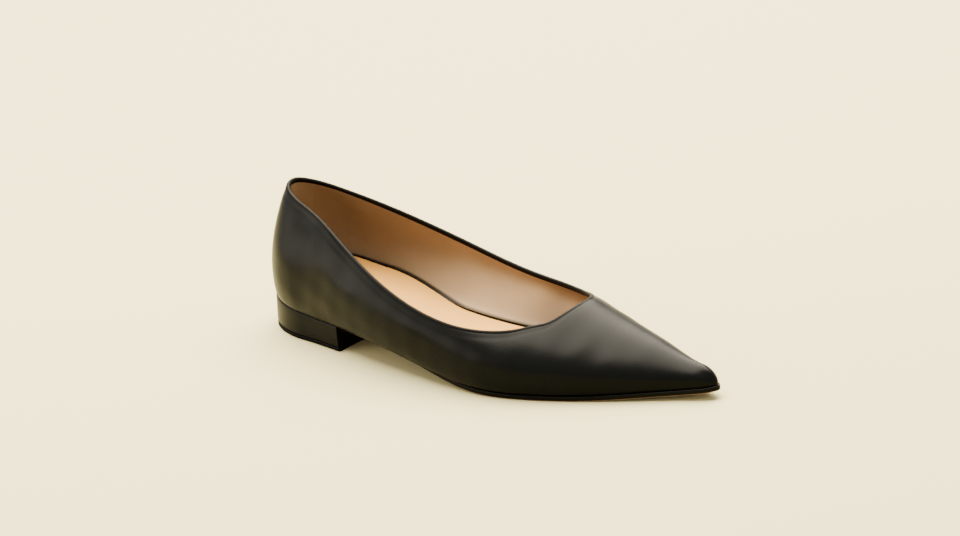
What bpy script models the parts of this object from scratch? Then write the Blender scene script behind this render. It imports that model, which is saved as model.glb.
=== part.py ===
"""A woman's pointed-toe flat for the right foot, standing on its heel and forefoot.

The toe points along +X, +Z is up and the outer (lateral) side of the foot is at -Y.
One function, last_point, gives the surface of the last that the upper is pulled over.
The upper, the binding, the footbed, the outsole and the heel all take their form from it.
All sizes are in metres. Tables hold shares of the named sizes, one row for each section.
"""
import bpy
import bmesh
import numpy as np
from collections import namedtuple
from mathutils import Matrix

# Driving sizes of the last
LENGTH = 0.2648          # feather line, from the back of the heel to the tip of the toe
BALL_WIDTH = 0.0747      # feather line across the ball of the foot
SEAT_RISE = 0.0040      # how far the feather line rises at the very back
SEAT_RUN = 0.0420       # and this far from the back it starts to rise
HEEL_LIFT = 0.0140      # feather line over the floor under the heel
COLLAR_BACK = 0.0733    # top of the collar over the floor at the back
OVER_COLLAR = 0.0007    # the last's nominal top runs this far over the collar at the back
INSTEP = COLLAR_BACK - HEEL_LIFT + OVER_COLLAR  # its height over the feather line there
THROAT = LENGTH * 0.7274  # front of the opening, from the back of the heel
HEEL_ROUND = 0.0298     # length of the rounded back in plan
TOE_ROUND = 0.0060      # length of the rounded tip in plan
NOSE_ROUND = 0.0085     # length over which the top of the toe comes down to the feather line
BACK_BULGE = 0.0012     # how far the back stands out over the heel seat
BACK_LEAN = 0.0102      # how far the top of the back leans in
FLATTEN = 0.064         # how far a section is drawn in between its widest point and its ridge
TURN = 0.30             # share of a section's parameter that is spent below its widest point

# Materials' thicknesses and fits
WALL = 0.0018           # leather, stiffening and lining together
LASTING = 0.0050        # how far the upper's lower edge is turned in under the footbed
SKIVED = 0.0010         # thickness of that edge, pared down
GAP = 0.0003            # between pieces that touch
SOLE = 0.0026           # outsole
SOLE_MARGIN = 0.0008    # how far the outsole stands out past the feather line at the toe
WAIST_TRIM = 0.0022     # how far it is trimmed back inside the feather line under the arch
TRIM_START = 0.1070     # the trim runs out from here, from the back of the heel
TRIM_END = 0.1570
SOLE_EDGE = 0.0007      # rounding of the outsole's edge
BREAST = 0.0568         # front face of the heel, from the back of the heel
HEEL_PROUD = 0.0003     # how far the heel stands out past the feather line at its top
HEEL_FLARE = 0.0001     # and how much further at the floor
HEEL_RAKE_TOP = 0.0018  # how far its back stands out further at its top
HEEL_RAKE_FOOT = 0.0037 # and at the floor
HEEL_EDGE = 0.0006      # rounding of the heel's edges
FOOTBED_HEEL = 0.0080   # footbed and padding over the turned-in edge, under the heel
FOOTBED_BALL = 0.0010   # and under the ball
CUP = 0.0030            # how far the padding rises to its edge around the heel
CUP_END = 0.0800        # where the cup has run out, from the back of the heel
FOOTBED_SLACK = 0.0018  # gap between the footbed's edge and the lining
ARCH_SLACK = 0.0062     # added to it along the inner side of the arch and ball
SLACK_RUN = (0.0100, 0.1150)  # where this starts and where it is whole, from the back of the heel
SLACK_OUT = (0.1500, 0.2150)  # where it starts to run out and where it has gone
PAD_START = 0.0400      # the padding under the heel starts to thin here
PAD_END = 0.1000        # and has run out here
FOOTBED_FRONT = 0.0100  # how far the footbed stops short of the tip
BINDING_HEIGHT = 0.0016
BINDING_PROUD = 0.0002  # how far the binding stands out from the wall on each side

# The last, from the back of the heel to the tip. 'along' is a share of LENGTH. The half widths
# at the feather line, the swell of the wall past them, the bend of the centre line towards the
# inner side and the shift of the ridge are shares of BALL_WIDTH. The height of the widest point
# and of the ridge over the feather line are shares of INSTEP, and the height of the feather
# line over the floor is a share of HEEL_LIFT.
Section = namedtuple("Section", "along outer inner swell_outer swell_inner widest crown feather "
                                "bend ridge")
SECTIONS = [
    Section(0.000, 0.325, 0.330, 0.048, 0.050, 0.250, 1.020, 1.000, 0.106, 0.000),
    Section(0.113, 0.330, 0.332, 0.050, 0.055, 0.250, 1.010, 1.000, 0.086, 0.000),
    Section(0.225, 0.375, 0.353, 0.078, 0.090, 0.290, 0.973, 0.964, 0.059, 0.000),
    Section(0.358, 0.427, 0.371, 0.094, 0.133, 0.315, 0.878, 0.743, 0.031, 0.015),
    Section(0.490, 0.482, 0.436, 0.071, 0.104, 0.278, 0.767, 0.421, 0.008, 0.032),
    Section(0.603, 0.505, 0.495, 0.048, 0.070, 0.217, 0.670, 0.221, 0.004, 0.037),
    Section(0.697, 0.455, 0.408, 0.040, 0.037, 0.168, 0.615, 0.204, 0.019, 0.042),
    Section(0.791, 0.345, 0.313, 0.033, 0.020, 0.135, 0.466, 0.225, 0.037, 0.030),
    Section(0.886, 0.206, 0.189, 0.020, 0.015, 0.093, 0.296, 0.329, 0.059, 0.016),
    Section(0.950, 0.108, 0.098, 0.011, 0.008, 0.063, 0.184, 0.407, 0.075, 0.005),
    Section(1.000, 0.043, 0.041, 0.005, 0.005, 0.045, 0.125, 0.500, 0.087, 0.000),
]

# The collar seen from the side, with its binding. 'along' is a share of THROAT, and the heights
# on the outer and the inner side of the foot are shares of COLLAR_BACK. The last row is not
# listed: at the throat the collar meets the ridge of the last.
Collar = namedtuple("Collar", "along outer inner")
COLLAR = [
    Collar(0.000, 1.000, 1.000),
    Collar(0.216, 0.874, 0.874),
    Collar(0.435, 0.666, 0.643),
    Collar(0.652, 0.486, 0.467),
    Collar(0.842, 0.426, 0.408),
    Collar(0.912, 0.443, 0.445),
    Collar(0.945, 0.460, 0.480),
    Collar(0.977, 0.482, 0.512),
]

# How finely the pieces are faceted
ROWS_BEHIND = 34        # sections from the back to the throat
ROWS_AHEAD = 16         # sections from the throat to the tip
COLUMNS = 9             # steps up each side
SOLE_ROWS = 34
HEEL_ROWS = 14
FOOTBED_ROWS = 30
FOOTBED_COLUMNS = 8

OUTER = -1.0            # the outer side of the foot
INNER = 1.0             # the inner side


def spline(along, values, x):
    """Natural cubic spline through the points (along, values), read at x."""
    along = np.asarray(along, float)
    values = np.asarray(values, float)
    step = np.diff(along)
    slope = np.diff(values) / step
    count = len(along)
    system = np.eye(count)
    right = np.zeros(count)
    for i in range(1, count - 1):
        system[i, i - 1:i + 2] = step[i - 1], 2 * (step[i - 1] + step[i]), step[i]
        right[i] = 3 * (slope[i] - slope[i - 1])
    bend = np.linalg.solve(system, right)
    first = slope - step * (2 * bend[:-1] + bend[1:]) / 3
    cubic = np.diff(bend) / (3 * step)
    k = np.clip(np.searchsorted(along, x, side="right") - 1, 0, count - 2)
    d = np.asarray(x, float) - along[k]
    return values[k] + d * (first[k] + d * (bend[k] + d * cubic[k]))


def column(name, x):
    """A column of SECTIONS at the distance x from the back of the heel."""
    along = [row.along for row in SECTIONS]
    return spline(along, [getattr(row, name) for row in SECTIONS], x / LENGTH)


def quarter_round(distance, length):
    """Rises from 0 at the end to 1 at the given length as a quarter of an ellipse."""
    left = np.clip(1 - distance / length, 0, 1)
    return np.sqrt(1 - left ** 2)


def plan_round(x):
    """The share of the half width that is left where the heel and the tip are rounded."""
    return quarter_round(x, HEEL_ROUND) * quarter_round(LENGTH - x, TOE_ROUND)


def seat_rise(x):
    """How far the feather line rises towards the very back of the heel seat."""
    return SEAT_RISE * np.clip(1 - x / SEAT_RUN, 0, 1) ** 1.2


def feather_height(x):
    """Height of the feather line, where upper and sole meet, over the floor."""
    return HEEL_LIFT * column("feather", x) + seat_rise(x)


def centre_line(x):
    """The middle of the shoe in plan, which bends to the inner side at heel and toe."""
    return BALL_WIDTH * column("bend", x)


def half_width(side, x):
    """Half width at the feather line on one side, before the ends are rounded."""
    return BALL_WIDTH * column("outer" if side == OUTER else "inner", x)


def last_point(side, x, theta, inset=0.0):
    """The surface of the last. theta is 0 at the feather line and 1 on the ridge.

    Up to TURN the wall swells out along a quarter of an ellipse to its widest point. From
    there a second quarter of an ellipse, drawn in a little half way up, closes it over the foot
    to the ridge. Around the back the section is pushed out by a bulge and leans in towards the
    collar. The inside of a wall of thickness inset is the same shape, drawn in all round.
    """
    low = np.clip(theta / TURN, 0, 1) * np.pi / 2
    high = np.clip((theta - TURN) / (1 - TURN), 0, 1) * np.pi / 2
    nose = quarter_round(LENGTH - x, NOSE_ROUND)
    widest = INSTEP * column("widest", x)
    crown = INSTEP * column("crown", x) - seat_rise(x)
    swell = BALL_WIDTH * column("swell_outer" if side == OUTER else "swell_inner", x)
    drawn = 1 - FLATTEN * np.sin(2 * high) ** 2
    reach = half_width(side, x) + (swell - inset) * np.sin(low)
    half = reach * np.cos(high) * drawn * plan_round(x)
    shift = BALL_WIDTH * column("ridge", x) * (1 - np.cos(high))
    belly = (widest - inset) * (1 - np.cos(low))
    z = feather_height(x) + inset + nose * (belly + (crown - widest - inset) * np.sin(high) * drawn)
    rise = np.maximum((z - HEEL_LIFT) / (COLLAR_BACK - HEEL_LIFT), 0)
    back = BACK_BULGE * np.sin(np.pi * rise ** 0.6) - BACK_LEAN * rise ** 1.7
    fade = np.clip(1 - x / HEEL_ROUND, 0, 1) ** 2
    moved = x + inset * (1 - 2 * x / LENGTH) - back * fade
    return np.stack([moved, centre_line(x) + shift + side * half, z], axis=-1)


def lasting_width(x):
    """How far the lower edge is turned in, less where the toe is narrow."""
    narrower = np.minimum(half_width(OUTER, x), half_width(INNER, x))
    return np.minimum(LASTING, narrower / 2)


def collar_theta(side, x):
    """Where the collar crosses the section at x, as theta of last_point."""
    ridge = feather_height(THROAT) + INSTEP * column("crown", THROAT)
    along = [row.along * THROAT for row in COLLAR] + [THROAT]
    shares = [row.outer if side == OUTER else row.inner for row in COLLAR]
    height = [share * COLLAR_BACK - BINDING_HEIGHT for share in shares] + [ridge]
    widest = INSTEP * column("widest", x)
    crown = INSTEP * column("crown", x) - seat_rise(x)
    up = spline(along, height, x) - feather_height(x)
    steps = np.linspace(0, np.pi / 2, 1000)
    rises = np.sin(steps) * (1 - FLATTEN * np.sin(2 * steps) ** 2)
    high = np.interp((up - widest) / (crown - widest), rises, steps) / (np.pi / 2)
    return TURN + (1 - TURN) * high


def eased(start, end, count):
    """Distances from start to end that are close together at both ends."""
    return start + (end - start) * (1 - np.cos(np.linspace(0, np.pi, count + 1))) / 2


def finished(name, vertices, faces, colour, roughness, collection):
    """Makes an object from vertices and faces, welds what coincides and gives it a material."""
    mesh = bpy.data.meshes.new(name)
    mesh.from_pydata([tuple(v) for v in vertices], [], [tuple(f) for f in faces])
    cage = bmesh.new()
    cage.from_mesh(mesh)
    bmesh.ops.remove_doubles(cage, verts=cage.verts, dist=0.00001)
    bmesh.ops.dissolve_degenerate(cage, edges=cage.edges, dist=0.00001)
    cage.to_mesh(mesh)
    cage.free()
    mesh.shade_smooth()
    mesh.set_sharp_from_angle(angle=np.radians(40))
    material = bpy.data.materials.new(name)
    material.use_nodes = True
    shader = material.node_tree.nodes["Principled BSDF"]
    shader.inputs["Base Color"].default_value = (*colour, 1.0)
    shader.inputs["Roughness"].default_value = roughness
    shader.inputs["Metallic"].default_value = 0.0
    mesh.materials.append(material)
    piece = bpy.data.objects.new(name, mesh)
    collection.objects.link(piece)
    return piece


def grid_faces(rows, columns, start, flip):
    """Quads of a grid whose vertices run along the columns, row after row."""
    i, j = np.meshgrid(np.arange(rows - 1), np.arange(columns - 1), indexing="ij")
    a = start + (i * columns + j).ravel()
    b, c, d = a + columns, a + columns + 1, a + 1
    quads = np.stack([a, d, c, b] if flip else [a, b, c, d], axis=1)
    return quads.tolist()


def ring_loft(rings, closed=False):
    """Vertices and faces of a solid skinned over rings of equal length.

    An open run of rings gets a cap on each end, and a closed run joins its last ring to its
    first.
    """
    count, around = rings.shape[:2]
    i, j = np.meshgrid(np.arange(count if closed else count - 1), np.arange(around), indexing="ij")
    k, m = (i + 1) % count, (j + 1) % around
    quads = np.stack([i * around + j, k * around + j, k * around + m, i * around + m], axis=-1)
    faces = quads.reshape(-1, 4).tolist()
    if not closed:
        faces.append(list(range(around)))
        faces.append([(count - 1) * around + n for n in reversed(range(around))])
    return rings.reshape(-1, 3), faces


def outline_point(side, x, margin, height, back=0.0, front=None):
    """A point on the feather outline, moved out by a margin, at a height.

    The margin also moves the back and the tip. A piece that is cut off in front passes where
    that is, and its front then stays in one plane. back moves the rounded back alone.
    """
    half = (half_width(side, x) + margin) * plan_round(x)
    if front is None:
        moved = x + margin * (2 * x / LENGTH - 1)
    else:
        moved = x - margin * (1 - x / front)
    moved = moved - back * np.clip(1 - x / HEEL_ROUND, 0, 1) ** 2
    return np.stack([moved, centre_line(x) + side * half, height + 0 * x], axis=-1)


def make_upper(collection):
    """The upper: one wall around the foot, open at the collar and underneath.

    Each section runs down the inside of the wall, around its lower edge, which is turned in to
    be lasted, and up the outside. Behind the throat it is closed over the collar's edge, and
    ahead of it the two sides meet on the ridge.
    """
    x = np.concatenate([eased(0, THROAT, ROWS_BEHIND), eased(THROAT, LENGTH, ROWS_AHEAD)[1:]])
    across = np.repeat(x[:, None], COLUMNS + 1, axis=1)
    around = 2 * (COLUMNS + 2)
    vertices, faces = [], []
    for side in (OUTER, INNER):
        top = np.where(x < THROAT, collar_theta(side, np.minimum(x, THROAT)), 1.0)
        theta = top[:, None] * np.linspace(0, 1, COLUMNS + 1)[None, :]
        turned = -lasting_width(x)
        low_edge = outline_point(side, x, turned, feather_height(x))[:, None]
        high_edge = outline_point(side, x, turned, feather_height(x) + SKIVED)[:, None]
        inside = last_point(side, across, theta, WALL)[:, ::-1]
        inside[:, -1, 2] = feather_height(x) + SKIVED
        outside = last_point(side, across, theta)
        start = len(x) * around * len(vertices)
        vertices.append(np.concatenate([inside, high_edge, low_edge, outside], axis=1).reshape(-1, 3))
        faces += grid_faces(len(x), around, start, side == INNER)
        i = start + around * np.arange(ROWS_BEHIND)
        rim = np.stack([i + around - 1, i + 2 * around - 1, i + around, i], axis=1)
        faces += (rim[:, ::-1] if side == INNER else rim).tolist()
    return finished("upper", np.concatenate(vertices), faces, (0.012, 0.013, 0.012), 0.42,
                    collection)


def collar_path(inset):
    """Points once around the collar, from the back along the outer side to the throat and back."""
    x = eased(0, THROAT, ROWS_BEHIND)
    outer = last_point(OUTER, x, collar_theta(OUTER, x), inset)
    inner = last_point(INNER, x, collar_theta(INNER, x), inset)
    return np.concatenate([outer, inner[-2:0:-1]])


def unit(vectors):
    """The vectors at length 1."""
    return vectors / np.linalg.norm(vectors, axis=-1, keepdims=True)


def make_binding(collection):
    """The folded strip along the collar: a bead that sits on the edge of the wall."""
    outside, inside = collar_path(0.0), collar_path(WALL)
    across = unit(outside - inside)
    along = unit(np.roll(outside, -1, axis=0) - np.roll(outside, 1, axis=0))
    upward = unit(np.cross(across, along))
    angle = np.linspace(0, np.pi, 5)
    out = np.concatenate([[1.0], np.cos(angle), [-1.0]])
    up = GAP + BINDING_HEIGHT * np.concatenate([[0.0], 0.35 + 0.65 * np.sin(angle), [0.0]])
    half = np.linalg.norm(outside - inside, axis=1)[:, None, None] / 2 + BINDING_PROUD
    rings = ((outside + inside)[:, None] / 2 + across[:, None] * half * out[None, :, None]
             + upward[:, None] * up[None, :, None])
    vertices, faces = ring_loft(rings, closed=True)
    return finished("topline_binding", vertices, faces, (0.010, 0.010, 0.010), 0.45, collection)


def smooth_step(x, start, end):
    """Rises smoothly from 0 at start to 1 at end."""
    share = np.clip((x - start) / (end - start), 0, 1)
    return share * share * (3 - 2 * share)


def footbed_thickness(x):
    """Thickness of the padded footbed in its middle, thicker under the heel."""
    return FOOTBED_HEEL + (FOOTBED_BALL - FOOTBED_HEEL) * smooth_step(x, PAD_START, PAD_END)


def arch_slack(x):
    """How much wider the gap to the lining is along the inner side of the arch and ball."""
    return ARCH_SLACK * smooth_step(x, *SLACK_RUN) * (1 - smooth_step(x, *SLACK_OUT))


def make_footbed(collection):
    """The insole: a padded footbed inside the upper, cupped around the heel.

    Its edge lies on the turned-in edge of the upper, and its middle fills the space between the
    turned-in edges down to the outsole. The brim follows the inside of the wall.
    """
    x = eased(0, LENGTH - FOOTBED_FRONT, FOOTBED_ROWS)
    inset = WALL + FOOTBED_SLACK
    ledge = feather_height(x) + SKIVED + GAP
    middle = ledge + footbed_thickness(x)
    edge = middle + CUP * np.clip(1 - x / CUP_END, 0, 1) ** 1.5
    narrowing = quarter_round(x, HEEL_ROUND) * quarter_round(x[-1] - x, TOE_ROUND)
    station = x + inset * (1 - 2 * x / LENGTH)
    recess = lasting_width(x) + 2 * GAP
    rests, brims = [], []
    for side in (OUTER, INNER):
        swell = BALL_WIDTH * column("swell_outer" if side == OUTER else "swell_inner", x)
        over_wall = edge - feather_height(x) - WALL
        low = np.arccos(np.clip(1 - over_wall / (INSTEP * column("widest", x) - WALL), 0, 1))
        slack = FOOTBED_SLACK + (arch_slack(x) if side == INNER else 0)
        rests.append((half_width(side, x) - inset) * narrowing)
        brims.append((half_width(side, x) + (swell - WALL) * np.sin(low) - slack) * narrowing)
    centre = centre_line(x)
    ring = []
    for side, width in ((OUTER, rests[0]), (INNER, rests[1])):
        half = (half_width(side, x) - recess) * narrowing
        moved = x + recess * (1 - 2 * x / LENGTH)
        steps = [np.stack([station, centre + side * width, ledge], axis=-1),
                 np.stack([moved, centre + side * half, ledge], axis=-1),
                 np.stack([moved, centre + side * half, feather_height(x)], axis=-1)]
        ring += steps if side == OUTER else steps[::-1]
    for share in np.linspace(1, -1, FOOTBED_COLUMNS + 1):
        brim = brims[0] if share < 0 else brims[1]
        height = edge - (edge - middle) * (1 - share ** 2) * narrowing
        ring.append(np.stack([station, centre + share * brim, height], axis=-1))
    vertices, faces = ring_loft(np.stack(ring[::-1], axis=1))
    return finished("insole", vertices, faces, (0.72, 0.56, 0.42), 0.62, collection)


def sole_bottom(x):
    """Underside of the outsole, flat on the floor under the ball."""
    return np.maximum(feather_height(x) - GAP - SOLE, 0)


def make_outsole(collection):
    """The outsole, from the front of the heel to the tip, with a rounded edge."""
    x = np.concatenate([np.linspace(BREAST + GAP, THROAT, SOLE_ROWS)[:-1],
                        eased(THROAT, LENGTH, SOLE_ROWS // 2)])
    bottom, top = sole_bottom(x), feather_height(x) - GAP
    margin = -WAIST_TRIM + (WAIST_TRIM + SOLE_MARGIN) * smooth_step(x, TRIM_START, TRIM_END)
    edge = [(-SOLE_EDGE, bottom), (0, bottom + SOLE_EDGE),
            (0, top - SOLE_EDGE / 2), (-SOLE_EDGE / 2, top)]
    ring = []
    for inset, height in edge:
        ring.append(outline_point(OUTER, x, margin + inset, height))
    for inset, height in reversed(edge):
        ring.append(outline_point(INNER, x, margin + inset, height))
    rings = np.stack(ring, axis=1)
    rings[0, :, 0] = BREAST + GAP
    vertices, faces = ring_loft(rings)
    return finished("outsole", vertices, faces, (0.020, 0.018, 0.016), 0.5, collection)


def make_heel(collection):
    """The low covered heel, flat on the floor, with an upright front face."""
    x = eased(0, BREAST * 2, HEEL_ROWS * 2)[:HEEL_ROWS + 1]
    top = feather_height(x) - GAP
    foot = HEEL_PROUD + HEEL_FLARE
    edge = [(foot - HEEL_EDGE, HEEL_RAKE_FOOT, 0 * x),
            (foot, HEEL_RAKE_FOOT, 0 * x + HEEL_EDGE),
            (HEEL_PROUD, HEEL_RAKE_TOP, top - HEEL_EDGE),
            (HEEL_PROUD - HEEL_EDGE, HEEL_RAKE_TOP, top)]
    ring = []
    for margin, back, height in edge:
        ring.append(outline_point(OUTER, x, margin, height, back, BREAST))
    for margin, back, height in reversed(edge):
        ring.append(outline_point(INNER, x, margin, height, back, BREAST))
    vertices, faces = ring_loft(np.stack(ring, axis=1))
    return finished("heel", vertices, faces, (0.010, 0.010, 0.010), 0.38, collection)


def stand_on_origin(pieces):
    """Moves the meshes so that the origin is under the middle of the shoe, on the floor."""
    points = np.array([tuple(v.co) for piece in pieces for v in piece.data.vertices])
    low, high = points.min(axis=0), points.max(axis=0)
    shift = Matrix.Translation((-(low[0] + high[0]) / 2, -(low[1] + high[1]) / 2, -low[2]))
    for piece in pieces:
        piece.data.transform(shift)
    return shift


for old in list(bpy.data.objects):
    bpy.data.objects.remove(old)
shoe = bpy.data.collections.new("pointed_toe_flat")
bpy.context.scene.collection.children.link(shoe)
makers = (make_upper, make_binding, make_footbed, make_outsole, make_heel)
print("moved by", stand_on_origin([make(shoe) for make in makers]).translation)
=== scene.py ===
# %% [markdown]
# # A pointed-toe flat in black leather
#
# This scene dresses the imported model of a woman's right flat shoe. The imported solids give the
# sizes and the frame: +X points to the toe, +Y to the inner side of the foot and +Z up, and one
# unit is a metre. Each piece of leather, the sock, the sole and the heel is drawn again as a fine
# surface, worked out with numpy over two parameters, and it stands for its plain solid.

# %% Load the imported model
import bpy
import bmesh
import numpy as np
from mathutils import Matrix, Vector


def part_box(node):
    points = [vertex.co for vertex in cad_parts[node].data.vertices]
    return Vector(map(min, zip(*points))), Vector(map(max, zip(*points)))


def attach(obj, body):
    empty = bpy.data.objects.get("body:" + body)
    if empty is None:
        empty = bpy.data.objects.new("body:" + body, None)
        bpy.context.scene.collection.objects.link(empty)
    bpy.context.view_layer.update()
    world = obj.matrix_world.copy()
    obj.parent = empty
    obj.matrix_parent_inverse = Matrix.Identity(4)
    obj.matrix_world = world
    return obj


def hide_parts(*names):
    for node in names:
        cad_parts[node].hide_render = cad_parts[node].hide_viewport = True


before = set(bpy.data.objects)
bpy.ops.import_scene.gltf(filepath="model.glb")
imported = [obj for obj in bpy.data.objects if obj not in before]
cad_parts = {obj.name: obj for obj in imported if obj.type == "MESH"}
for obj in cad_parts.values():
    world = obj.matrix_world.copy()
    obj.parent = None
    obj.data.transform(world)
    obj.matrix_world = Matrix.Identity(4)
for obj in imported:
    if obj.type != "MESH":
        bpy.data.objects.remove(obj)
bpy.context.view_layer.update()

# %% [markdown]
# ## The last
#
# A shoe is pulled over a last, a solid foot form, so one surface gives the leather, its lining,
# the footbed and the outline of the sole. It could be sculpted, but then each piece would have to
# be fitted to the sculpture by hand. Here the last is a handful of cross sections, each with the
# same simple formula, and cubic splines run through their numbers from heel to toe.

# %% Sizes of the shoe
LENGTH = 0.2648          # feather line, where upper and sole meet, from heel to tip
BALL_WIDTH = 0.0747      # feather line across the ball
SEAT_RISE = 0.0040       # how far the feather line rises at the very back
SEAT_RUN = 0.0420        # and this far from the back it starts to rise
HEEL_LIFT = 0.0140       # feather line over the floor at the heel
COLLAR_BACK = 0.0733     # top of the collar at the back
INSTEP = 0.0600          # ridge of the last over its feather line at the heel
THROAT = LENGTH * 0.7274  # front of the opening, from the back of the heel
HEEL_ROUND = 0.0298      # length of the rounded back in plan
TOE_ROUND = 0.0060       # length of the rounded tip in plan
NOSE_ROUND = 0.0085      # length over which the top of the toe comes down
BACK_BULGE = 0.0012      # how far the back stands out over the heel seat
BACK_LEAN = 0.0102       # how far the top of the back leans in
SEAT_CURVE = 1.2         # powers that bend the rise of the seat,
BULGE_CURVE = 0.6        # the bulge of the back
LEAN_CURVE = 1.7         # and its lean
FLATTEN = 0.064          # how far a section is drawn in beside its ridge
TURN = 0.30              # share of a section's parameter below its widest point
WALL = 0.0018            # leather and lining together
LEATHER = 0.0011         # the leather alone
GAP = 0.0003             # between pieces that touch
OUTER, INNER = -1.0, 1.0

# Each row: along (share of LENGTH), half widths on the outer and inner side, swell of the wall on
# both sides, height of the widest point and of the ridge (shares of INSTEP), height of the
# feather line (share of HEEL_LIFT), bend of the centre line and shift of the ridge.
# Widths, swells, bend and shift are shares of BALL_WIDTH.
SECTIONS = np.array([
    (0.000, 0.325, 0.330, 0.048, 0.050, 0.250, 1.020, 1.000, 0.106, 0.000),
    (0.113, 0.330, 0.332, 0.050, 0.055, 0.250, 1.010, 1.000, 0.086, 0.000),
    (0.225, 0.375, 0.353, 0.078, 0.090, 0.290, 0.973, 0.964, 0.059, 0.000),
    (0.358, 0.427, 0.371, 0.094, 0.133, 0.315, 0.878, 0.743, 0.031, 0.015),
    (0.490, 0.482, 0.436, 0.071, 0.104, 0.278, 0.767, 0.421, 0.008, 0.032),
    (0.603, 0.505, 0.495, 0.048, 0.070, 0.217, 0.670, 0.221, 0.004, 0.037),
    (0.697, 0.455, 0.408, 0.040, 0.037, 0.168, 0.615, 0.204, 0.019, 0.042),
    (0.791, 0.345, 0.313, 0.033, 0.020, 0.135, 0.466, 0.225, 0.037, 0.030),
    (0.886, 0.206, 0.189, 0.020, 0.015, 0.093, 0.296, 0.329, 0.059, 0.016),
    (0.950, 0.108, 0.098, 0.011, 0.008, 0.063, 0.184, 0.407, 0.075, 0.005),
    (1.000, 0.043, 0.041, 0.005, 0.005, 0.045, 0.125, 0.500, 0.087, 0.000),
])
COLUMN = {name: i for i, name in enumerate(
    ("along", "outer", "inner", "swell_outer", "swell_inner", "widest", "crown", "feather",
     "bend", "ridge"))}

# Each row: along (share of THROAT), height of the collar on the outer and inner side (shares of
# COLLAR_BACK). At the throat the collar meets the ridge of the last.
COLLAR = np.array([
    (0.000, 1.000, 1.000),
    (0.216, 0.874, 0.874),
    (0.435, 0.666, 0.643),
    (0.652, 0.486, 0.467),
    (0.842, 0.426, 0.408),
    (0.912, 0.443, 0.445),
    (0.945, 0.460, 0.480),
    (0.977, 0.482, 0.512),
])
FOLD_HEIGHT = 0.0016     # the folded topline stands this far over the cut edge of the wall

# %% The surface of the last


def spline(along, values, x):
    """Natural cubic spline through the points (along, values), read at x."""
    step = np.diff(along)
    slope = np.diff(values) / step
    count = len(along)
    system = np.eye(count)
    right = np.zeros(count)
    inside = np.arange(1, count - 1)
    system[inside, inside - 1] = step[:-1]
    system[inside, inside] = 2 * (step[:-1] + step[1:])
    system[inside, inside + 1] = step[1:]
    right[inside] = 3 * np.diff(slope)
    bend = np.linalg.solve(system, right)
    first = slope - step * (2 * bend[:-1] + bend[1:]) / 3
    cubic = np.diff(bend) / (3 * step)
    k = np.clip(np.searchsorted(along, x, side="right") - 1, 0, count - 2)
    d = x - along[k]
    return values[k] + d * (first[k] + d * (bend[k] + d * cubic[k]))


def read(name, x):
    """A column of SECTIONS at the distance x from the back."""
    return spline(SECTIONS[:, 0], SECTIONS[:, COLUMN[name]], x / LENGTH)


def quarter_round(distance, length):
    """Rises from 0 at the end to 1 at the given length, as a quarter of an ellipse."""
    return np.sqrt(1 - np.clip(1 - distance / length, 0, 1) ** 2)


def plan_round(x):
    """Share of the half width that is left where heel and tip are rounded in plan."""
    return quarter_round(x, HEEL_ROUND) * quarter_round(LENGTH - x, TOE_ROUND)


def seat_rise(x):
    """How far the feather line rises to the back: a power of the share of SEAT_RUN left."""
    return SEAT_RISE * np.clip(1 - x / SEAT_RUN, 0, 1) ** SEAT_CURVE


def feather_height(x):
    """Height of the feather line over the floor: its spline plus the rise of the seat."""
    return HEEL_LIFT * read("feather", x) + seat_rise(x)


def centre_line(x):
    """Middle of the shoe in plan."""
    return BALL_WIDTH * read("bend", x)


def half_width(side, x):
    """Half width at the feather line, before the ends are rounded."""
    return BALL_WIDTH * read("outer" if side == OUTER else "inner", x)


def last_point(side, x, theta, inset=0.0):
    """The surface of the last, from the feather line (theta 0) to the ridge (theta 1).

    Up to TURN the half width grows with a sine and the height with one minus a cosine, a quarter
    of an ellipse. From there the half width falls with a cosine and the height grows with a
    sine, both drawn in a little half way, to the ridge, which doesn't follow the rise of the
    seat. The back bulges and leans in. A positive inset gives the same form inside the wall.
    """
    low = np.clip(theta / TURN, 0, 1) * np.pi / 2
    high = np.clip((theta - TURN) / (1 - TURN), 0, 1) * np.pi / 2
    nose = quarter_round(LENGTH - x, NOSE_ROUND)
    widest = INSTEP * read("widest", x)
    crown = INSTEP * read("crown", x) - seat_rise(x)
    swell = BALL_WIDTH * read("swell_outer" if side == OUTER else "swell_inner", x)
    drawn = 1 - FLATTEN * np.sin(2 * high) ** 2
    reach = half_width(side, x) + (swell - inset) * np.sin(low)
    half = reach * np.cos(high) * drawn * plan_round(x)
    shift = BALL_WIDTH * read("ridge", x) * (1 - np.cos(high))
    belly = (widest - inset) * (1 - np.cos(low))
    z = feather_height(x) + inset + nose * (belly + (crown - widest - inset) * np.sin(high) * drawn)
    rise = np.maximum((z - HEEL_LIFT) / (COLLAR_BACK - HEEL_LIFT), 0)
    bulge = BACK_BULGE * np.sin(np.pi * rise ** BULGE_CURVE)
    back = bulge - BACK_LEAN * rise ** LEAN_CURVE
    fade = np.clip(1 - x / HEEL_ROUND, 0, 1) ** 2
    moved = x + inset * (1 - 2 * x / LENGTH) - back * fade
    return np.stack([moved, centre_line(x) + shift + side * half, z], axis=-1)


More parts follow.
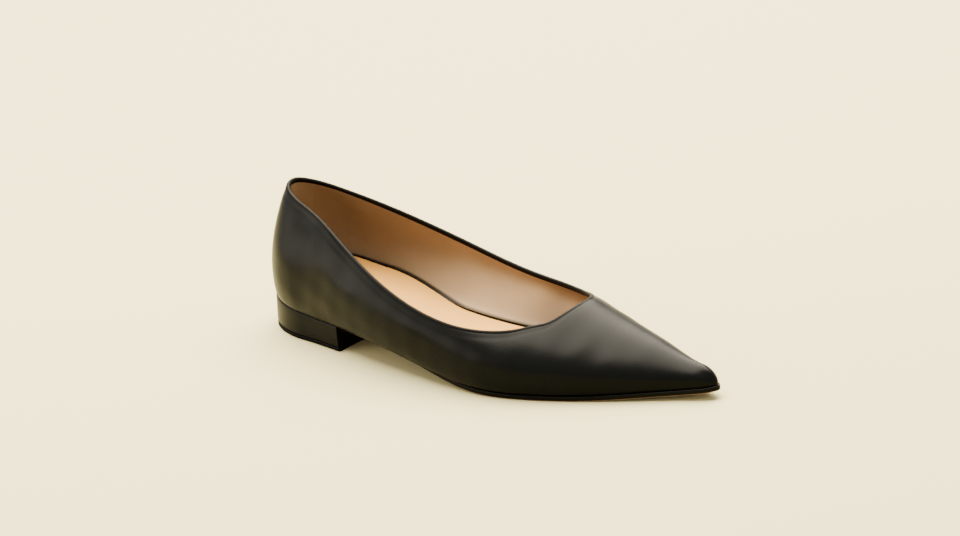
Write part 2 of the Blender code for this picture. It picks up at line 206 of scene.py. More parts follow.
def collar_theta(side, x):
    """Where the collar crosses the section at x: its height is looked up on the section."""
    ridge = feather_height(THROAT) + INSTEP * read("crown", THROAT)
    along = np.append(COLLAR[:, 0], 1.0) * THROAT
    shares = COLLAR[:, 1 if side == OUTER else 2]
    height = np.append(shares * COLLAR_BACK - FOLD_HEIGHT, ridge)
    widest = INSTEP * read("widest", x)
    crown = INSTEP * read("crown", x) - seat_rise(x)
    up = spline(along, height, x) - feather_height(x)
    steps = np.linspace(0, np.pi / 2, 2000)
    rises = np.sin(steps) * (1 - FLATTEN * np.sin(2 * steps) ** 2)
    high = np.interp((up - widest) / (crown - widest), rises, steps) / (np.pi / 2)
    return TURN + (1 - TURN) * high


def eased(start, end, count):
    """Distances from start to end that lie close together at both ends."""
    return start + (end - start) * (1 - np.cos(np.linspace(0, np.pi, count + 1))) / 2


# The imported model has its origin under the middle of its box. Its sole ends this far ahead.
SOLE_MARGIN = 0.0008
probe = last_point(OUTER, *np.meshgrid(np.linspace(0, LENGTH, 400), np.linspace(0, 1, 60)))
other = last_point(INNER, *np.meshgrid(np.linspace(0, LENGTH, 400), np.linspace(0, 1, 60)))
PLACE = np.array([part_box("outsole")[1].x - LENGTH - SOLE_MARGIN,
                  -(probe[..., 1].min() + other[..., 1].max()) / 2, 0.0])
print("the back of the heel is at", PLACE.round(5))

# %% [markdown]
# ## Turning a grid into a piece
#
# Every piece below is a grid of points. The quads between neighbours are index arithmetic on
# whole arrays, so no loop runs over the points. A UV map in metres goes with each grid: u runs
# along the shoe and v around the section, so a seam or an edge stain can follow the surface.

# %% Grids and meshes


def grid_quads(rows, columns, flip=False, around=False):
    """Quads between neighbours of a grid whose points run along the columns, row after row."""
    i, j = np.meshgrid(np.arange(rows - 1), np.arange(columns if around else columns - 1),
                       indexing="ij")
    k = (j + 1) % columns
    corners = [i * columns + j, (i + 1) * columns + j, (i + 1) * columns + k, i * columns + k]
    quads = np.stack(corners[::-1] if flip else corners, axis=-1)
    return quads.reshape(-1, 4)


def end_caps(rows, around):
    """The first and the last ring of a closed run, as two faces that point outwards."""
    last = (rows - 1) * around
    return [list(range(around)), list(range(last, last + around))[::-1]]


def arc_uv(grid):
    """Distances along the rows (u) and along the columns (v) of a grid, in metres."""
    along = np.linalg.norm(np.diff(grid, axis=0), axis=-1)
    across = np.linalg.norm(np.diff(grid, axis=1), axis=-1)
    u = np.concatenate([np.zeros((1, grid.shape[1])), np.cumsum(along, axis=0)], axis=0)
    v = np.concatenate([np.zeros((grid.shape[0], 1)), np.cumsum(across, axis=1)], axis=1)
    return np.stack([u, v], axis=-1)


def make_piece(name, points, quads, material, uv=None, masks=None, caps=(), sharp=40):
    """An object from points and quads in the last's own place, welded and smooth.

    masks are named numbers for each point, which a material reads as attributes. caps are runs of
    point numbers that close an end.
    """
    mesh = bpy.data.meshes.new(name)
    faces = quads.tolist() + [list(cap) for cap in caps]
    mesh.from_pydata((points.reshape(-1, 3) + PLACE).tolist(), [], faces)
    if uv is not None:
        layer = mesh.uv_layers.new(name="metres")
        corner = np.empty(len(mesh.loops), dtype=np.int32)
        mesh.loops.foreach_get("vertex_index", corner)
        layer.data.foreach_set("uv", uv.reshape(-1, 2)[corner].ravel())
    for mask, values in (masks or {}).items():
        layer = mesh.attributes.new(mask, "FLOAT", "POINT")
        layer.data.foreach_set("value", values.ravel())
    cage = bmesh.new()
    cage.from_mesh(mesh)
    bmesh.ops.remove_doubles(cage, verts=cage.verts, dist=0.00001)
    bmesh.ops.dissolve_degenerate(cage, edges=cage.edges, dist=0.000001)
    cage.to_mesh(mesh)
    cage.free()
    mesh.shade_smooth()
    mesh.set_sharp_from_angle(angle=np.radians(sharp))
    mesh.materials.append(material)
    made = bpy.data.objects.new(name, mesh)
    bpy.context.scene.collection.objects.link(made)
    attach(made, "root")
    print(name, len(mesh.polygons), "faces")
    return made


def surface_normals(grid):
    """Unit normals of a grid, from the differences between its neighbours."""
    normal = np.cross(np.gradient(grid, axis=1), np.gradient(grid, axis=0))
    size = np.linalg.norm(normal, axis=-1, keepdims=True)
    return normal / np.maximum(size, 1e-12)


def soft_bump(x, y, middle, width):
    """A soft hill: a bell curve around a middle with its own width each way."""
    return np.exp(-((x - middle[0]) / width[0]) ** 2 - ((y - middle[1]) / width[1]) ** 2)


def smooth_step(x, start, end):
    """Rises smoothly from 0 at start to 1 at end."""
    share = np.clip((x - start) / (end - start), 0, 1)
    return share * share * (3 - 2 * share)


# %% [markdown]
# ## Shared surface effects
#
# Leather shows fine pores everywhere and slow changes of gloss where hands and polish went over
# it. Both are used by several materials, so each is a node group that is built once. A group only
# puts out numbers and normals. The Principled shader stays in each material.

# %% Node groups


def new_group(name, inputs, outputs):
    """An empty shader node group with named float inputs (name, value) and outputs."""
    group = bpy.data.node_groups.new(name, "ShaderNodeTree")
    for label, value in inputs:
        socket = group.interface.new_socket(label, in_out="INPUT", socket_type="NodeSocketFloat")
        socket.default_value = value
    for label, kind in outputs:
        group.interface.new_socket(label, in_out="OUTPUT", socket_type=kind)
    return group, group.nodes.new("NodeGroupInput"), group.nodes.new("NodeGroupOutput")


def add(tree, kind, **settings):
    """A node with its settings; keys that start with in_ are input numbers."""
    node = tree.nodes.new(kind)
    for key, value in settings.items():
        if key.startswith("in_"):
            node.inputs[int(key[3:])].default_value = value
        else:
            setattr(node, key, value)
    return node


def build_grain():
    """Fine pores and soft wrinkles: cell borders of a Voronoi pattern plus two noises."""
    group, given, result = new_group(
        "leather_grain",
        [("Pores per metre", 1500.0), ("Pore depth", 0.3), ("Wave depth", 0.3)],
        [("Height", "NodeSocketFloat"), ("Gloss change", "NodeSocketFloat")])
    place = add(group, "ShaderNodeTexCoord")
    pores = add(group, "ShaderNodeTexVoronoi", feature="SMOOTH_F1")
    pores.inputs["Smoothness"].default_value = 0.6
    waves = add(group, "ShaderNodeTexNoise")
    waves.inputs["Scale"].default_value = 160.0
    waves.inputs["Detail"].default_value = 3.0
    slow = add(group, "ShaderNodeTexNoise")
    slow.inputs["Scale"].default_value = 45.0
    slow.inputs["Detail"].default_value = 2.0
    pore_height = add(group, "ShaderNodeMath", operation="MULTIPLY")
    wave_height = add(group, "ShaderNodeMath", operation="MULTIPLY")
    total = add(group, "ShaderNodeMath", operation="ADD")
    link = group.links.new
    link(given.outputs["Pores per metre"], pores.inputs["Scale"])
    link(place.outputs["Object"], pores.inputs["Vector"])
    link(place.outputs["Object"], waves.inputs["Vector"])
    link(place.outputs["Object"], slow.inputs["Vector"])
    link(pores.outputs["Distance"], pore_height.inputs[0])
    link(given.outputs["Pore depth"], pore_height.inputs[1])
    link(waves.outputs["Fac"], wave_height.inputs[0])
    link(given.outputs["Wave depth"], wave_height.inputs[1])
    link(pore_height.outputs[0], total.inputs[0])
    link(wave_height.outputs[0], total.inputs[1])
    link(total.outputs[0], result.inputs["Height"])
    link(slow.outputs["Fac"], result.inputs["Gloss change"])
    return group


GRAIN = build_grain()


def leather_material(name, colour, shade, rough, rough_low, pores, depth, bump, specular):
    """A leather: two tones mixed by slow noise, pores as bump, and roughness that wanders."""
    material = bpy.data.materials.new(name)
    material.use_nodes = True
    tree = material.node_tree
    shader = tree.nodes["Principled BSDF"]
    grain = add(tree, "ShaderNodeGroup", node_tree=GRAIN)
    grain.inputs["Pores per metre"].default_value = pores
    grain.inputs["Pore depth"].default_value = depth
    relief = add(tree, "ShaderNodeBump")
    relief.inputs["Strength"].default_value = bump
    relief.inputs["Distance"].default_value = 0.0002
    tones = add(tree, "ShaderNodeMix", data_type="RGBA")
    tones.inputs["A"].default_value = (*shade, 1)
    tones.inputs["B"].default_value = (*colour, 1)
    wander = add(tree, "ShaderNodeMapRange")
    wander.inputs["From Min"].default_value = 0.3
    wander.inputs["From Max"].default_value = 0.7
    wander.inputs["To Min"].default_value = rough_low
    wander.inputs["To Max"].default_value = rough
    contrast = add(tree, "ShaderNodeMapRange")
    contrast.inputs["From Min"].default_value = 0.3
    contrast.inputs["From Max"].default_value = 0.7
    link = tree.links.new
    link(grain.outputs["Gloss change"], wander.inputs["Value"])
    link(grain.outputs["Gloss change"], contrast.inputs["Value"])
    link(contrast.outputs["Result"], tones.inputs["Factor"])
    link(tones.outputs["Result"], shader.inputs["Base Color"])
    link(wander.outputs["Result"], shader.inputs["Roughness"])
    link(grain.outputs["Height"], relief.inputs["Height"])
    link(relief.outputs["Normal"], shader.inputs["Normal"])
    shader.inputs["Specular IOR Level"].default_value = specular
    return material


# %% [markdown]
# ## The black leather upper
#
# The upper is one skin of smooth calf leather, pulled tight over the last, so it has no pattern
# lines, only a closed seam down the back. Its gloss shows every small unevenness, and these are
# modelled: soft waves along the topline behind the ankle and broad hollows on the vamp. They
# could be left to a bump map, but then the outline and the broad reflections would stay straight.

# %% Black leather
black = leather_material(
    "black_calf", (0.0009, 0.0012, 0.0012), (0.0006, 0.0008, 0.0008), 0.37, 0.27,
    1100.0, 0.25, 0.022, specular=0.037)
edge_black = leather_material(
    "edge_black", (0.0009, 0.0009, 0.0008), (0.0006, 0.0006, 0.0005), 0.48, 0.40,
    1700.0, 0.30, 0.05, specular=0.030)


CROWDING = 1.4           # power that sets the columns closer together towards the top


def wall_sections(side, rows, columns, inset):
    """Points on one side of the wall, from the feather line to the collar or the ridge."""
    top = np.where(rows < THROAT, collar_theta(side, np.minimum(rows, THROAT)), 1.0)
    theta = top[:, None] * (1 - np.linspace(1, 0, columns) ** CROWDING)[None, :]
    return last_point(side, np.repeat(rows[:, None], columns, axis=1), theta, inset), theta


# Hills and hollows, in metres: height, middle along and up the shoe, width along and up.
HILLS = {
    OUTER: [(0.00045, (0.038, 0.060), (0.010, 0.005)),
            (-0.00040, (0.056, 0.052), (0.008, 0.007)),
            (0.00035, (0.074, 0.044), (0.009, 0.006)),
            (-0.00035, (0.030, 0.042), (0.014, 0.008)),
            (0.00030, (0.058, 0.034), (0.016, 0.006)),
            (-0.00030, (0.100, 0.026), (0.020, 0.007)),
            (0.00025, (0.135, 0.022), (0.018, 0.006)),
            (-0.00022, (0.175, 0.016), (0.014, 0.005))],
    INNER: [(0.00040, (0.044, 0.056), (0.012, 0.006)),
            (-0.00035, (0.070, 0.042), (0.012, 0.008)),
            (0.00030, (0.105, 0.030), (0.016, 0.007)),
            (-0.00030, (0.150, 0.020), (0.018, 0.006))],
}
HILL_GAIN = 1.5          # the hills stand this many times as high as the table says
WAVE_HEIGHT = 0.00009    # fine waves between them


def leather_relief(side, points):
    """Unevenness of the upper: bell-shaped hills plus products of sines, faded out at both ends."""
    x, z = points[..., 0], points[..., 2]
    relief = sum(height * soft_bump(x, z, middle, width) for height, middle, width in HILLS[side])
    waves = (np.sin(x * 310 + z * 160 + 1.3) * np.sin(x * 120 - z * 240 + 0.4)
             + 0.6 * np.sin(x * 205 - z * 330 + 2.1))
    settled = smooth_step(x, 0.004, 0.024) * (1 - smooth_step(x, 0.215, 0.245))
    return (HILL_GAIN * relief + WAVE_HEIGHT * waves) * settled


LASTING = 0.0050         # how far the lower edge is turned in
SKIVED = 0.0010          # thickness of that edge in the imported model


def lasting_width(x):
    """How far the lower edge is turned in, less where the toe is narrow."""
    narrower = np.minimum(half_width(OUTER, x), half_width(INNER, x))
    return np.minimum(LASTING, narrower / 2)


def outline_point(side, x, margin, height, back=0.0, front=None):
    """A point of the feather outline, moved out by a margin, at a height."""
    half = (half_width(side, x) + margin) * plan_round(x)
    moved = x + margin * (2 * x / LENGTH - 1) if front is None else x - margin * (1 - x / front)
    moved = moved - back * np.clip(1 - x / HEEL_ROUND, 0, 1) ** 2
    return np.stack([moved, centre_line(x) + side * half, height + 0 * x], axis=-1)


BEHIND = 170             # sections from the back to the throat
AHEAD = 84               # and from there to the tip
WALL_ROWS = np.concatenate([eased(0, THROAT, BEHIND), eased(THROAT, LENGTH, AHEAD)[1:]])
WALL_COLUMNS = 68
BEAD = 0.00008           # height of the soft ridge where the folded edge ends under the leather
BEAD_BELOW = 0.0024      # how far it lies below the collar
BEAD_WIDTH = 0.0014      # and how wide it is
FLANGE = LEATHER * 0.8   # thickness of the turned-in edge, thinned before it is lasted


def make_wall(name, insets, relief, material, flange, foot=None, shade=None):
    """A skin of the wall: inside face, lower edge and outside face of each section in one run.

    relief is added along the normal of both faces, and with it the bead, a bell curve a little
    below the collar. foot moves both faces towards the middle. Behind the throat the run is
    closed over the collar, and ahead of it the two sides meet on the ridge. flange turns the
    lower edge in. shade gives the masks of painted shade by which the lining is darkened.
    """
    x = WALL_ROWS
    points, quads, uvs = [], [], []
    for side in (OUTER, INNER):
        faces = []
        for inset in insets:
            grid, theta = wall_sections(side, x, WALL_COLUMNS, inset)
            if relief:
                normal = surface_normals(grid) * (1 if side == OUTER else -1)
                height = relief(side, grid) * smooth_step(theta, 0.02, 0.2)
                down = arc_uv(grid)[..., 1]
                below = down[:, -1:] - down
                bead = BEAD * np.exp(-((below - BEAD_BELOW) / BEAD_WIDTH) ** 2)
                height = height + bead * (x[:, None] < THROAT)
                grid = grid + normal * height[..., None]
            if foot:
                grid[..., 1] -= side * foot(side, grid)
            faces.append(grid)
        outside, inside = faces
        if flange:
            turned = -lasting_width(x)
            low = outline_point(side, x, turned, feather_height(x))[:, None]
            high = outline_point(side, x, turned, feather_height(x) + FLANGE)[:, None]
            inside[:, 0, 2] = feather_height(x) + FLANGE
            run = np.concatenate([inside[:, ::-1], high, low, outside], axis=1)
        else:
            run = np.concatenate([inside[:, ::-1], outside], axis=1)
        around = run.shape[1]
        start = sum(len(p) for p in points)
        uv = arc_uv(outside)
        edge = [uv[:, :1], uv[:, :1]] if flange else []
        uv = np.concatenate([uv[:, ::-1], *edge, uv], axis=1)
        uv[..., 0] *= side
        points.append(run.reshape(-1, 3))
        uvs.append(uv.reshape(-1, 2))
        quads.append(start + grid_quads(len(x), around, side == OUTER))
        i = start + around * np.arange(BEHIND)
        rim = np.stack([i, i + around, i + 2 * around - 1, i + around - 1], axis=1)
        quads.append(rim[:, ::-1] if side == INNER else rim)
    points = np.concatenate(points)
    masks = {"shade": shade(points), "gap": lining_gap(points)} if shade else None
    return make_piece(name, points, np.concatenate(quads), material, uv=np.concatenate(uvs),
                      masks=masks)


upper_leather = make_wall("upper_leather", (0.0, LEATHER), leather_relief, black, True)
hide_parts("upper")

# %% [markdown]
# ## The lining
#
# Inside the leather lies a tan lining of thin kid leather. It is a second skin of the same last,
# a little further in. On the inner side its lower part stands off the leather and comes in
# towards the footbed, with two soft bulges. Two masks on the mesh paint shade into its colour:
# one darkens it at the heel and more towards the throat, less at two spots of painted light,
# and the other paints it nearly black below the footbed's rim, where no light gets in. Lights
# alone could do this, but they are spread too evenly in so small a hollow.

# %% Lining skin
tan = leather_material(
    "tan_lining", (0.205, 0.140, 0.078), (0.180, 0.121, 0.066), 0.62, 0.50, 1500.0, 0.30, 0.07,
    specular=0.1)


def shade_by_mask(material, mask, colour):
    """Mixes a material's colour towards another one by a mask that the mesh carries."""
    tree = material.node_tree
    shader = tree.nodes["Principled BSDF"]
    reader = add(tree, "ShaderNodeAttribute", attribute_name=mask)
    mixed = add(tree, "ShaderNodeMix", data_type="RGBA")
    mixed.inputs["B"].default_value = (*colour, 1)
    plain = shader.inputs["Base Color"].links[0].from_socket
    tree.links.new(reader.outputs["Fac"], mixed.inputs["Factor"])
    tree.links.new(plain, mixed.inputs["A"])
    tree.links.new(mixed.outputs["Result"], shader.inputs["Base Color"])


# painted shade: the "shade" mask darkens the lining at the heel and towards the throat
shade_by_mask(tan, "shade", (0.072, 0.050, 0.034))
# painted shade: the "gap" mask paints the lining nearly black below the footbed's rim
shade_by_mask(tan, "gap", (0.004, 0.003, 0.002))


def lining_shade(points):
    """Painted shade on the lining, 0 to 1: at the heel, more to the throat, less two spots of
    painted light.
    """
    x, z = points[..., 0], points[..., 2]
    heel = 0.5 * (1 - smooth_step(x, 0.045, 0.105))
    front = 0.8 * smooth_step(x, 0.112, 0.152)
    # two spots of painted light, where the painted shade is taken back
    pale = 0.55 * (soft_bump(x, z, (0.136, 0.021), (0.011, 0.007))
                   + soft_bump(x, z, (0.157, 0.017), (0.010, 0.006)))
    return np.clip(heel + front - pale, 0, 1)


FOOTBED_HEEL = 0.0080    # thickness over the turned-in edge under the heel
FOOTBED_BALL = 0.0010    # and under the ball
CUP = 0.0030             # rise of the rim around the heel
CUP_END = 0.0800         # where it has run out
CUP_CURVE = 1.5          # power that bends it
PAD_START = 0.0400       # the padding under the heel starts to thin here
PAD_END = 0.1000         # and has run out here
FOOTBED_SLACK = 0.0018   # gap between the footbed's rim and the wall
ARCH_SLACK = 0.0062      # added to it along the inner side
SLACK_RUN = (0.0100, 0.1150)  # where this starts and where it is whole
SLACK_OUT = (0.1500, 0.2150)  # where it starts to run out and where it has gone
GAP_FADE = (-0.0007, 0.0004)  # heights over the rim between which the darkness behind it ends
FOOT_SHARE = 0.80        # share of the slack that the lining's foot takes up
FOOT_FADE = (0.003, 0.022)  # heights over the feather line between which the foot ends


def arch_slack(x):
    """How much further the footbed's rim stays off the wall along the inner side."""
    return ARCH_SLACK * smooth_step(x, *SLACK_RUN) * (1 - smooth_step(x, *SLACK_OUT))


def cup_rise(x):
    """How far the footbed's rim stands over its middle: a power of the share of CUP_END left."""
    return CUP * np.clip(1 - x / CUP_END, 0, 1) ** CUP_CURVE


def rim_height(x):
    """Height of the footbed's rim over the floor: feather line, turned edge, padding and cup."""
    thick = FOOTBED_HEEL + (FOOTBED_BALL - FOOTBED_HEEL) * smooth_step(x, PAD_START, PAD_END)
    return feather_height(x) + SKIVED + GAP + thick + cup_rise(x)


def lining_gap(points):
    """1 below the footbed's rim, where no light gets in behind it, and 0 above."""
    x, z = points[..., 0], points[..., 2]
    return 1 - smooth_step(z - rim_height(x), *GAP_FADE)


def lining_foot(side, points):
    """How far the lining's lower part is drawn in towards the footbed, sideways in metres."""
    x, z = points[..., 0], points[..., 2]
    if side == OUTER:
        return 0 * x
    high = z - feather_height(x)
    bulge = (0.0012 * soft_bump(x, z, (0.136, 0.021), (0.010, 0.006))
             + 0.0008 * soft_bump(x, z, (0.157, 0.017), (0.008, 0.005)))
    return FOOT_SHARE * arch_slack(x) * (1 - smooth_step(high, *FOOT_FADE)) + bulge


LINING_GAP = 0.00012     # between the leather and the lining
lining = make_wall("lining", (LEATHER + LINING_GAP, WALL), None, tan, False, lining_foot,
                   lining_shade)

# %% [markdown]
# ## The folded topline
#
# Along the collar the black leather is thinned and folded over the edge, and its cut end lies on
# the lining as a narrow dark band. It is a profile carried along the collar: up the outside, over
# a rounded edge and a short way down the inside. A curve with a bevel would turn about its own
# line, while a profile between the two faces of the wall always sits on both.

# %% Folded topline


def unit(vectors):
    """The vectors at length 1."""
    return vectors / np.linalg.norm(vectors, axis=-1, keepdims=True)


def collar_line(rows, inset):
    """Points once around the collar, along the outer side to the throat and back."""
    outer = last_point(OUTER, rows, collar_theta(OUTER, rows), inset)
    inner = last_point(INNER, rows, collar_theta(INNER, rows), inset)
    return np.concatenate([outer, inner[-2:0:-1]])


FOLD_INSIDE = 0.0004     # how far the band reaches down the lining
FOLD_PROUD = 0.00012     # how far it stands out from the faces it lies on
FOLD_SHOULDER = 0.0004   # its rounded edge starts this high
FOLD_STEPS = 13          # points around that edge


def make_fold():
    """The fold: a profile of out and up distances, set between the wall's two faces."""
    rows = eased(0, THROAT, 190)
    outside, inside = collar_line(rows, 0.0), collar_line(rows, WALL)
    across = unit(outside - inside)
    along = unit(np.roll(outside, -1, axis=0) - np.roll(outside, 1, axis=0))
    upward = unit(np.cross(across, along))
    half = np.linalg.norm(outside - inside, axis=1)[:, None, None] / 2
    angle = np.linspace(0, np.pi, FOLD_STEPS)
    out = np.concatenate([[1.0], np.cos(angle), [-1.0, -1.0, -0.80, -0.80, -0.6]])
    proud = np.concatenate([[0.3], np.ones(FOLD_STEPS), [1.6, 2.4, 0, 0, 0]]) * FOLD_PROUD
    over = FOLD_SHOULDER + (FOLD_HEIGHT - FOLD_SHOULDER) * np.sin(angle)
    down = [-FOLD_INSIDE * 0.5, -FOLD_INSIDE, -FOLD_INSIDE, 0.0, 0.0001]
    up = np.concatenate([[0.0001], over, down])
    offset = out[None, :, None] * half + (np.sign(out) * proud)[None, :, None]
    middle = (outside + inside)[:, None] / 2
    rings = middle + across[:, None] * offset + upward[:, None] * up[None, :, None]
    closed = np.concatenate([rings, rings[:1]])
    uv = arc_uv(closed)
    quads = grid_quads(len(closed), rings.shape[1], around=True)
    return make_piece("topline_fold", closed, quads, edge_black, uv=uv, sharp=50)


topline_fold = make_fold()
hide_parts("topline_binding")

# %% [markdown]
# ## Footbed and sock
#
# The foot stands on a padded footbed with a thin pale sock glued over it. It is a crowned pad
# that rises to its rim around the heel and runs out flat towards the toes, with a gap between
# its rim and the lining that is wider along the inner side. The gap is dark by painted shade:
# the lining below the rim and the footbed's board are coloured nearly black. Both are lofts of
# the same cross section, the sock a thin skin on top of the footbed, whose rim turns down.

# %% Footbed and sock
FOOTBED_FRONT = 0.0100   # it stops this far short of the tip
SOCK = 0.0009            # thickness of the sock

pale = leather_material(
    "pale_sock", (0.325, 0.166, 0.036), (0.295, 0.148, 0.031), 0.66, 0.55, 1500.0, 0.25, 0.06,
    specular=0.1)
# The footbed's board is a real piece, coloured nearly black here as painted shade, so that its edge
# reads dark in the gap by the lining.
board_and_gap_shade = leather_material(
    "footbed_edge", (0.010, 0.006, 0.0035), (0.007, 0.0045, 0.0025), 0.8, 0.7, 1500.0, 0.5, 0.3,
    specular=0.1)


def footbed_sections(x, lowered, drawn_in):
    """Rim height, middle height, half widths and narrowing of the footbed's top at each row."""
    ledge = feather_height(x) + SKIVED + GAP
    edge = rim_height(x)
    middle = edge - cup_rise(x)
    narrowing = quarter_round(x, HEEL_ROUND) * quarter_round(x[-1] - x, TOE_ROUND)
    widths = []
    for side in (OUTER, INNER):
        swell = BALL_WIDTH * read("swell_outer" if side == OUTER else "swell_inner", x)
        over_wall = edge - feather_height(x) - WALL
        low = np.arccos(np.clip(1 - over_wall / (INSTEP * read("widest", x) - WALL), 0, 1))
        slack = FOOTBED_SLACK + (arch_slack(x) if side == INNER else 0) + drawn_in
        widths.append((half_width(side, x) + (swell - WALL) * np.sin(low) - slack) * narrowing)
    return ledge, middle - lowered, edge - lowered, widths, narrowing


def make_pad(name, low, high, drawn_in, material, rounding):
    """A closed pad between two levels below the footbed's top, with a rounded rim.

    Across the pad the top's height is the rim's less the share of the dip that is left, one minus
    the square of the distance from the middle. Near the rim it turns down as a quarter circle.
    """
    x = eased(0, LENGTH - FOOTBED_FRONT, 150)
    share = np.sin(np.linspace(-1, 1, 61) * np.pi / 2)
    ledge, middle, edge, widths, narrowing = footbed_sections(x, high, drawn_in)
    bottom_middle = middle + high - low if low is not None else ledge
    bottom_edge = edge + high - low if low is not None else ledge
    width = np.where(share[None, :] < 0, widths[0][:, None], widths[1][:, None])
    y = centre_line(x)[:, None] + share[None, :] * width
    inset = WALL + FOOTBED_SLACK + drawn_in
    station = np.repeat((x + inset * (1 - 2 * x / LENGTH))[:, None], len(share), axis=1)
    dip = (1 - share[None, :] ** 2) * narrowing[:, None]
    top = edge[:, None] - (edge - middle)[:, None] * dip
    to_rim = (1 - np.abs(share))[None, :] * np.maximum(width, 1e-6)
    turned = rounding * (1 - quarter_round(to_rim, rounding))
    bottom = bottom_edge[:, None] - (bottom_edge - bottom_middle)[:, None] * dip
    over = np.stack([station, y, np.maximum(top - turned, bottom + 0.0001)], axis=-1)
    under = np.stack([station, y, bottom], axis=-1)
    run = np.concatenate([over, under[:, ::-1]], axis=1)
    around = run.shape[1]
    quads = grid_quads(len(x), around, around=True)
    return make_piece(name, run, quads, material, uv=arc_uv(run), caps=end_caps(len(x), around))


footbed = make_pad("footbed", None, SOCK + 0.0001, 0.0016, board_and_gap_shade, 0.0006)
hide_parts("insole")
sock = make_pad("sock", SOCK, 0.0, 0.0012, pale, 0.0007)

# %% [markdown]
# ## The outsole
#
# The sole is a thin sheet of leather from the heel's front to the tip. Its edge is cut a little
# proud of the upper at the toe and trimmed back under the arch. The edge is inked black, and the
# stain ends just short of the underside, so a thin line of bare leather shows along the bottom.
# A mask, 1 on the inked edge and 0 on the underside, goes with the mesh for that.

# %% Outsole
SOLE = 0.0026            # thickness of the sole
WAIST_TRIM = 0.0022      # how far it is trimmed back under the arch
TRIM_START = 0.1070      # the trim runs out from here
TRIM_END = 0.1570        # to here
BREAST = 0.0568          # front face of the heel
SOLE_EDGE = 0.0007       # rounding of the edge
BARE = 0.0003            # the ink ends this far over the underside
INK_FADE = 0.0002        # and fades in over this height
UNDER_ROWS = (-0.0150, -0.0060)  # rows on the underside, inwards from the edge
NARROW = 0.016           # where half the sole is narrower, they are drawn together


def sole_material():
    """Bare tan leather with an inked edge: the mask mixes colour and gloss."""
    material = leather_material(
        "sole_leather", (0.20, 0.127, 0.076), (0.165, 0.103, 0.06), 0.72, 0.6, 1100.0, 0.6, 0.25,
        specular=0.04)
    shade_by_mask(material, "ink", (0.0007, 0.0007, 0.0006))
    tree = material.node_tree
    shader = tree.nodes["Principled BSDF"]
    mask = add(tree, "ShaderNodeAttribute", attribute_name="ink")
    polished = add(tree, "ShaderNodeMix", data_type="FLOAT")
    polished.inputs["B"].default_value = 0.36
    dull = shader.inputs["Roughness"].links[0].from_socket
    tree.links.new(mask.outputs["Fac"], polished.inputs["Factor"])
    tree.links.new(dull, polished.inputs["A"])
    tree.links.new(polished.outputs["Result"], shader.inputs["Roughness"])
    return material


def make_outsole():
    """The sole: at each row a profile of margin and height, from the underside over the edge."""
    x = np.concatenate([np.linspace(BREAST + GAP, THROAT, 90)[:-1], eased(THROAT, LENGTH, 70)])
    bottom = np.maximum(feather_height(x) - GAP - SOLE, 0)
    top = feather_height(x) - GAP
    margin = -WAIST_TRIM + (WAIST_TRIM + SOLE_MARGIN) * smooth_step(x, TRIM_START, TRIM_END)
    turn = np.linspace(0, np.pi / 2, 7)
    inset = np.concatenate([UNDER_ROWS, -SOLE_EDGE * (1 - np.sin(turn)),
                            -0.5 * SOLE_EDGE * (1 - np.cos(turn))])
    lift = np.concatenate([[0, 0], SOLE_EDGE * (1 - np.cos(turn)),
                           -0.5 * SOLE_EDGE * (1 - np.sin(turn))])
    from_top = np.concatenate([np.zeros(2 + len(turn)), np.ones(len(turn))])
    runs = []
    for side in (OUTER, INNER):
        narrow = np.minimum(1.0, (half_width(side, x) + margin)[:, None] / NARROW)
        height = (bottom[:, None] * (1 - from_top) + top[:, None] * from_top + lift)
        offset = margin[:, None] + inset * np.where(inset < -SOLE_EDGE * 2, narrow, 1.0)
        across = x[:, None] + 0 * offset
        runs.append(outline_point(side, across, offset, height))
    run = np.concatenate([runs[0], runs[1][:, ::-1]], axis=1)
    run[0, :, 0] = BREAST + GAP
    bare = (BARE * smooth_step(x, TRIM_START, TRIM_END))[:, None]
    mask = smooth_step(run[..., 2] - bottom[:, None] - bare, 0, INK_FADE)
    around = run.shape[1]
    quads = grid_quads(len(x), around, around=True)
    return make_piece("sole", run, quads, sole_material(), uv=arc_uv(run), masks={"ink": mask},
                      caps=end_caps(len(x), around), sharp=60)


sole = make_outsole()
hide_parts("outsole")

# %% [markdown]
# ## The heel
#
# The heel is a low block wrapped in thin black leather, with a dark rubber top lift on the floor.
# In plan it follows the feather outline, and its front is flat. The wrap is drawn as one skin
# with rounded edges, and a thin gap parts it from the upper and from the lift.

# %% Heel block and top lift
HEEL_PROUD = 0.0003      # how far the heel stands out past the feather line at its top
HEEL_FLARE = 0.0001      # and how much further at the floor
HEEL_RAKE_TOP = 0.0018   # how far its back stands out further at its top
HEEL_RAKE_FOOT = 0.0037  # and at the floor
HEEL_EDGE = 0.0012       # rounding of its edges
LIFT = 0.0022            # thickness of the top lift

heel_leather = leather_material(
    "heel_wrap", (0.0009, 0.0012, 0.0012), (0.0006, 0.0008, 0.0008), 0.40, 0.32,
    1100.0, 0.25, 0.022, specular=0.037)
rubber = leather_material(
    "lift_rubber", (0.0012, 0.0012, 0.0011), (0.0008, 0.0008, 0.0007), 0.75, 0.62,
    1400.0, 0.4, 0.2, specular=0.037)


